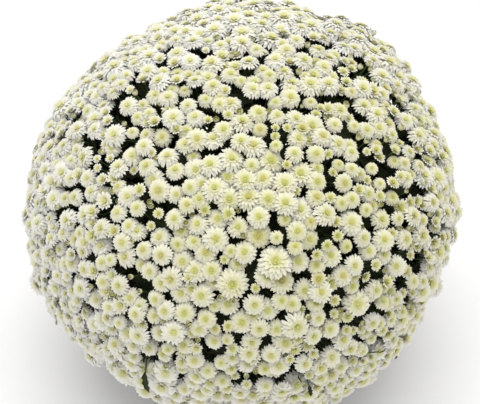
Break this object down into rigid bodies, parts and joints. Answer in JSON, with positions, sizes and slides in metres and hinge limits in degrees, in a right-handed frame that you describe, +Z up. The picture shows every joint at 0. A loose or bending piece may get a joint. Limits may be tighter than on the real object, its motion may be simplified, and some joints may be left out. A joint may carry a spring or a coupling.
{
  "type": "potted ball chrysanthemum",
  "caption": "Ball-shaped potted chrysanthemum: small white double blooms with pale green eyes all over a dome of leafy stems, in a plain tapered pot.",
  "frame": {"origin": "middle of the pot's flat base, on the surface that the pot stands on", "axes": "+Z straight up out of the pot; X and Y level, and alike all round"},
  "size_m": [0.4932, 0.4978, 0.4644],
  "materials": {
    "pot": "satin",
    "soil": "matte",
    "foliage": "matte",
    "petals": "matte"
  },
  "bodies": {
    "root": {"pot": "pot", "soil": "soil", "leafy_stem_01": "foliage", "leafy_stem_02": "foliage", "leafy_stem_03": "foliage", "leafy_stem_04": "foliage", "leafy_stem_05": "foliage", "leafy_stem_06": "foliage", "leafy_stem_07": "foliage", "leafy_stem_08": "foliage", "leafy_stem_09": "foliage", "leafy_stem_10": "foliage", "leafy_stem_11": "foliage", "leafy_stem_12": "foliage", "leafy_stem_13": "foliage", "leafy_stem_14": "foliage", "leafy_stem_15": "foliage", "leafy_stem_16": "foliage", "leafy_stem_17": "foliage", "leafy_stem_18": "foliage", "leafy_stem_19": "foliage", "leafy_stem_20": "foliage", "leafy_stem_21": "foliage", "leafy_stem_22": "foliage", "leafy_stem_23": "foliage", "leafy_stem_24": "foliage", "bloom_spray_01": "petals", "bloom_spray_02": "petals", "bloom_spray_03": "petals", "bloom_spray_04": "petals", "bloom_spray_05": "petals", "bloom_spray_06": "petals", "bloom_spray_07": "petals", "bloom_spray_08": "petals", "bloom_spray_09": "petals", "bloom_spray_10": "petals", "bloom_spray_11": "petals", "bloom_spray_12": "petals", "bloom_spray_13": "petals", "bloom_spray_14": "petals", "bloom_spray_15": "petals", "bloom_spray_16": "petals", "bloom_spray_17": "petals", "bloom_spray_18": "petals", "bloom_spray_19": "petals", "bloom_spray_20": "petals", "bloom_spray_21": "petals", "bloom_spray_22": "petals", "bloom_spray_23": "petals", "bloom_spray_24": "petals"}
  },
  "joints": []
}
